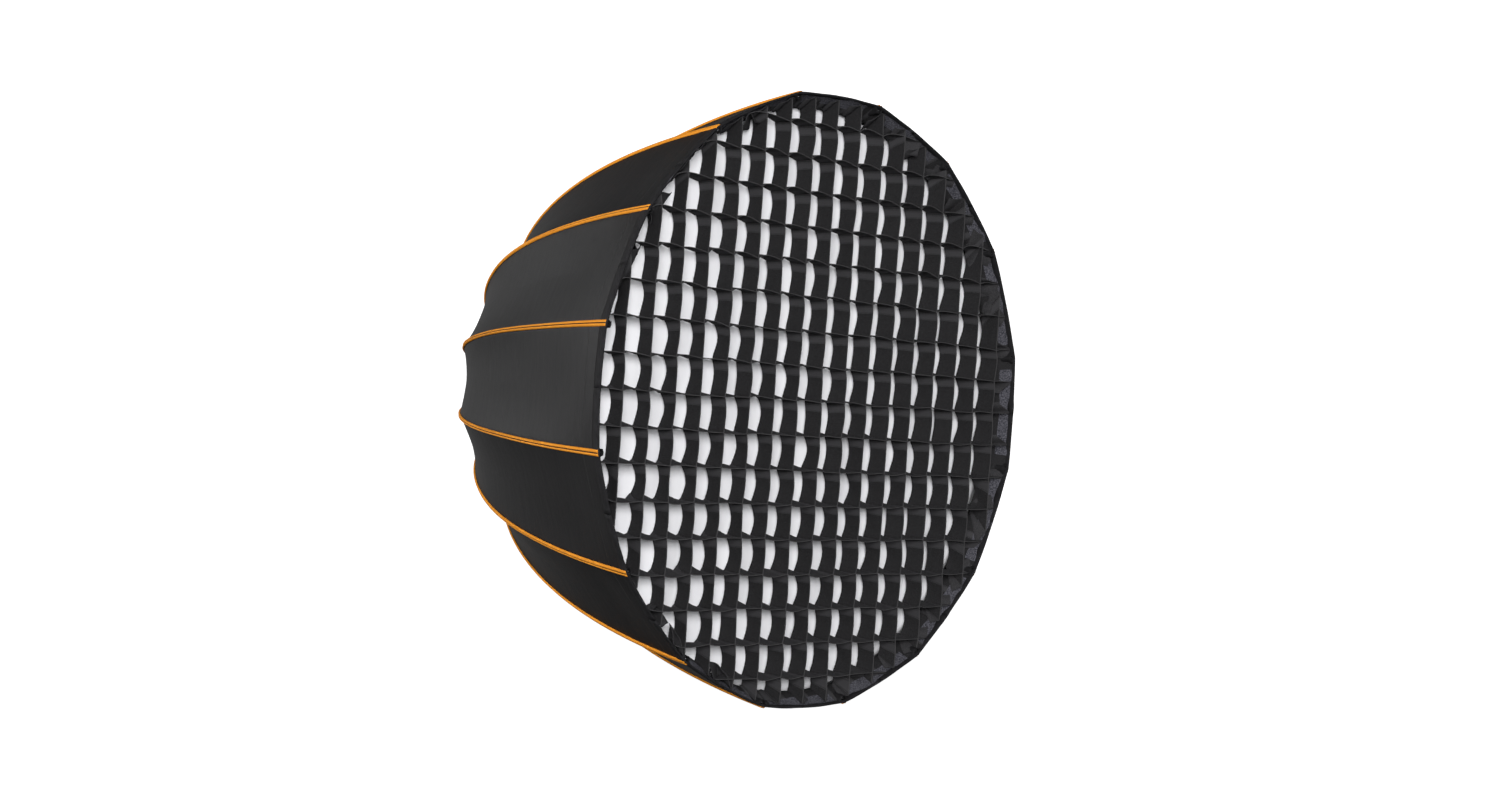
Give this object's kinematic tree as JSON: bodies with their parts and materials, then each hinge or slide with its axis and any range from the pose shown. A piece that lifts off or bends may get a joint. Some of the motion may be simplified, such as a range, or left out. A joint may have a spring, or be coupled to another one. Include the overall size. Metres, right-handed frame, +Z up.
{
  "type": "softbox",
  "caption": "Deep round studio softbox with a folding rib frame on a slotted speedring, black cloth shell, inner baffle, front diffuser and a fabric egg-crate grid.",
  "frame": {"origin": "centre of the speedring's throat in the plane of the rear seat flange, where the lamp's face meets it", "axes": "+Y along the optical axis back towards the lamp, so the box opens towards -Y; +Z up, with a flat shell panel at the top and one at each side"},
  "size_m": [0.8828, 0.612, 0.8828],
  "materials": {
    "shell_cloth": "coated ripstop weave, satin",
    "grid_cloth": "matte woven",
    "skirt_cloth": "brushed loop",
    "white_cloth": "translucent matte",
    "rib_rod": "black oxide spring steel",
    "holder": "black anodised",
    "speedring": "black anodised cast",
    "bayonet": "machined satin",
    "lock": "zinc plated",
    "steel": "zinc plated",
    "accent": "moulded orange"
  },
  "bodies": {
    "hub": {"speedring_body": "speedring", "speedring_cover": "speedring", "bayonet_ring": "bayonet", "hub_screws": "steel", "hinge_pins": "steel", "button_spring": "steel"},
    "rib_arm_01": {"rib_01": "rib_rod", "rib_holder_01": "holder", "shell_panel_01": "shell_cloth"},
    "rib_arm_02": {"rib_02": "rib_rod", "rib_holder_02": "holder", "shell_panel_02": "shell_cloth"},
    "rib_arm_03": {"rib_03": "rib_rod", "rib_holder_03": "holder", "shell_panel_03": "shell_cloth"},
    "rib_arm_04": {"rib_04": "rib_rod", "rib_holder_04": "holder", "shell_panel_04": "shell_cloth"},
    "rib_arm_05": {"rib_05": "rib_rod", "rib_holder_05": "holder", "shell_panel_05": "shell_cloth"},
    "rib_arm_06": {"rib_06": "rib_rod", "rib_holder_06": "holder", "shell_panel_06": "shell_cloth"},
    "rib_arm_07": {"rib_07": "rib_rod", "rib_holder_07": "holder", "shell_panel_07": "shell_cloth"},
    "rib_arm_08": {"rib_08": "rib_rod", "rib_holder_08": "holder", "shell_panel_08": "shell_cloth"},
    "rib_arm_09": {"rib_09": "rib_rod", "rib_holder_09": "holder", "shell_panel_09": "shell_cloth"},
    "rib_arm_10": {"rib_10": "rib_rod", "rib_holder_10": "holder", "shell_panel_10": "shell_cloth"},
    "rib_arm_11": {"rib_11": "rib_rod", "rib_holder_11": "holder", "shell_panel_11": "shell_cloth"},
    "rib_arm_12": {"rib_12": "rib_rod", "rib_holder_12": "holder", "shell_panel_12": "shell_cloth"},
    "rib_arm_13": {"rib_13": "rib_rod", "rib_holder_13": "holder", "shell_panel_13": "shell_cloth"},
    "rib_arm_14": {"rib_14": "rib_rod", "rib_holder_14": "holder", "shell_panel_14": "shell_cloth"},
    "rib_arm_15": {"rib_15": "rib_rod", "rib_holder_15": "holder", "shell_panel_15": "shell_cloth"},
    "rib_arm_16": {"rib_16": "rib_rod", "rib_holder_16": "holder", "shell_panel_16": "shell_cloth"},
    "lock": {"lock_ring": "lock"},
    "baffle_cover": {"inner_baffle": "white_cloth"},
    "diffuser_cover": {"front_diffuser": "white_cloth"},
    "grid_cover": {"grid": "grid_cloth", "grid_skirt": "skirt_cloth"},
    "button": {"release_button": "accent"}
  },
  "joints": [
    {"name": "rib_fold_01", "type": "hinge", "parent": "hub", "child": "rib_arm_01", "pos_m": [-0.01717, -0.016, 0.08631], "axis": [0.9808, 0, 0.1951], "range_deg": [0, 31], "deforming": ["shell_panel_01"]},
    {"name": "rib_fold_02", "type": "hinge", "parent": "hub", "child": "rib_arm_02", "pos_m": [-0.04889, -0.016, 0.07317], "axis": [0.8315, 0, 0.5556], "range_deg": [0, 31], "deforming": ["shell_panel_02"]},
    {"name": "rib_fold_03", "type": "hinge", "parent": "hub", "child": "rib_arm_03", "pos_m": [-0.07317, -0.016, 0.04889], "axis": [0.5556, 0, 0.8315], "range_deg": [0, 31], "deforming": ["shell_panel_03"]},
    {"name": "rib_fold_04", "type": "hinge", "parent": "hub", "child": "rib_arm_04", "pos_m": [-0.08631, -0.016, 0.01717], "axis": [0.1951, 0, 0.9808], "range_deg": [0, 31], "deforming": ["shell_panel_04"]},
    {"name": "rib_fold_05", "type": "hinge", "parent": "hub", "child": "rib_arm_05", "pos_m": [-0.08631, -0.016, -0.01717], "axis": [-0.1951, 0, 0.9808], "range_deg": [0, 31], "deforming": ["shell_panel_05"]},
    {"name": "rib_fold_06", "type": "hinge", "parent": "hub", "child": "rib_arm_06", "pos_m": [-0.07317, -0.016, -0.04889], "axis": [-0.5556, 0, 0.8315], "range_deg": [0, 31], "deforming": ["shell_panel_06"]},
    {"name": "rib_fold_07", "type": "hinge", "parent": "hub", "child": "rib_arm_07", "pos_m": [-0.04889, -0.016, -0.07317], "axis": [-0.8315, 0, 0.5556], "range_deg": [0, 31], "deforming": ["shell_panel_07"]},
    {"name": "rib_fold_08", "type": "hinge", "parent": "hub", "child": "rib_arm_08", "pos_m": [-0.01717, -0.016, -0.08631], "axis": [-0.9808, 0, 0.1951], "range_deg": [0, 31], "deforming": ["shell_panel_08"]},
    {"name": "rib_fold_09", "type": "hinge", "parent": "hub", "child": "rib_arm_09", "pos_m": [0.01717, -0.016, -0.08631], "axis": [-0.9808, 0, -0.1951], "range_deg": [0, 31], "deforming": ["shell_panel_09"]},
    {"name": "rib_fold_10", "type": "hinge", "parent": "hub", "child": "rib_arm_10", "pos_m": [0.04889, -0.016, -0.07317], "axis": [-0.8315, 0, -0.5556], "range_deg": [0, 31], "deforming": ["shell_panel_10"]},
    {"name": "rib_fold_11", "type": "hinge", "parent": "hub", "child": "rib_arm_11", "pos_m": [0.07317, -0.016, -0.04889], "axis": [-0.5556, 0, -0.8315], "range_deg": [0, 31], "deforming": ["shell_panel_11"]},
    {"name": "rib_fold_12", "type": "hinge", "parent": "hub", "child": "rib_arm_12", "pos_m": [0.08631, -0.016, -0.01717], "axis": [-0.1951, 0, -0.9808], "range_deg": [0, 31], "deforming": ["shell_panel_12"]},
    {"name": "rib_fold_13", "type": "hinge", "parent": "hub", "child": "rib_arm_13", "pos_m": [0.08631, -0.016, 0.01717], "axis": [0.1951, 0, -0.9808], "range_deg": [0, 31], "deforming": ["shell_panel_13"]},
    {"name": "rib_fold_14", "type": "hinge", "parent": "hub", "child": "rib_arm_14", "pos_m": [0.07317, -0.016, 0.04889], "axis": [0.5556, 0, -0.8315], "range_deg": [0, 31], "deforming": ["shell_panel_14"]},
    {"name": "rib_fold_15", "type": "hinge", "parent": "hub", "child": "rib_arm_15", "pos_m": [0.04889, -0.016, 0.07317], "axis": [0.8315, 0, -0.5556], "range_deg": [0, 31], "deforming": ["shell_panel_15"]},
    {"name": "rib_fold_16", "type": "hinge", "parent": "hub", "child": "rib_arm_16", "pos_m": [0.01717, -0.016, 0.08631], "axis": [0.9808, 0, -0.1951], "range_deg": [0, 31], "deforming": ["shell_panel_16"]},
    {"name": "lock_slide", "type": "slide", "parent": "hub", "child": "lock", "axis": [0, 1, 0], "range_m": [0, 0.0055]},
    {"name": "baffle_slide", "type": "slide", "parent": "hub", "child": "baffle_cover", "axis": [0, -1, 0], "range_m": [0, 0.47]},
    {"name": "diffuser_slide", "type": "slide", "parent": "hub", "child": "diffuser_cover", "axis": [0, -1, 0], "range_m": [0, 0.715]},
    {"name": "grid_slide", "type": "slide", "parent": "hub", "child": "grid_cover", "axis": [0, -1, 0], "range_m": [0, 0.75]},
    {"name": "button_press", "type": "slide", "parent": "hub", "child": "button", "axis": [0, -1, 0], "range_m": [0, 0.003], "stiffness_N_per_m": 400, "springref_m": -0.002, "deforming": ["button_spring"]}
  ],
  "couplings": [
    {"joint": "rib_fold_02", "follows": "rib_fold_01", "ratio": 1},
    {"joint": "rib_fold_03", "follows": "rib_fold_01", "ratio": 1},
    {"joint": "rib_fold_04", "follows": "rib_fold_01", "ratio": 1},
    {"joint": "rib_fold_05", "follows": "rib_fold_01", "ratio": 1},
    {"joint": "rib_fold_06", "follows": "rib_fold_01", "ratio": 1},
    {"joint": "rib_fold_07", "follows": "rib_fold_01", "ratio": 1},
    {"joint": "rib_fold_08", "follows": "rib_fold_01", "ratio": 1},
    {"joint": "rib_fold_09", "follows": "rib_fold_01", "ratio": 1},
    {"joint": "rib_fold_10", "follows": "rib_fold_01", "ratio": 1},
    {"joint": "rib_fold_11", "follows": "rib_fold_01", "ratio": 1},
    {"joint": "rib_fold_12", "follows": "rib_fold_01", "ratio": 1},
    {"joint": "rib_fold_13", "follows": "rib_fold_01", "ratio": 1},
    {"joint": "rib_fold_14", "follows": "rib_fold_01", "ratio": 1},
    {"joint": "rib_fold_15", "follows": "rib_fold_01", "ratio": 1},
    {"joint": "rib_fold_16", "follows": "rib_fold_01", "ratio": 1},
    {"joint": "lock_slide", "follows": "rib_fold_01", "m_per_rad": 0.009},
    {"joint": "baffle_slide", "follows": "rib_fold_01", "m_per_rad": 0.85},
    {"joint": "diffuser_slide", "follows": "rib_fold_01", "m_per_rad": 1.3},
    {"joint": "grid_slide", "follows": "rib_fold_01", "m_per_rad": 1.36}
  ]
}
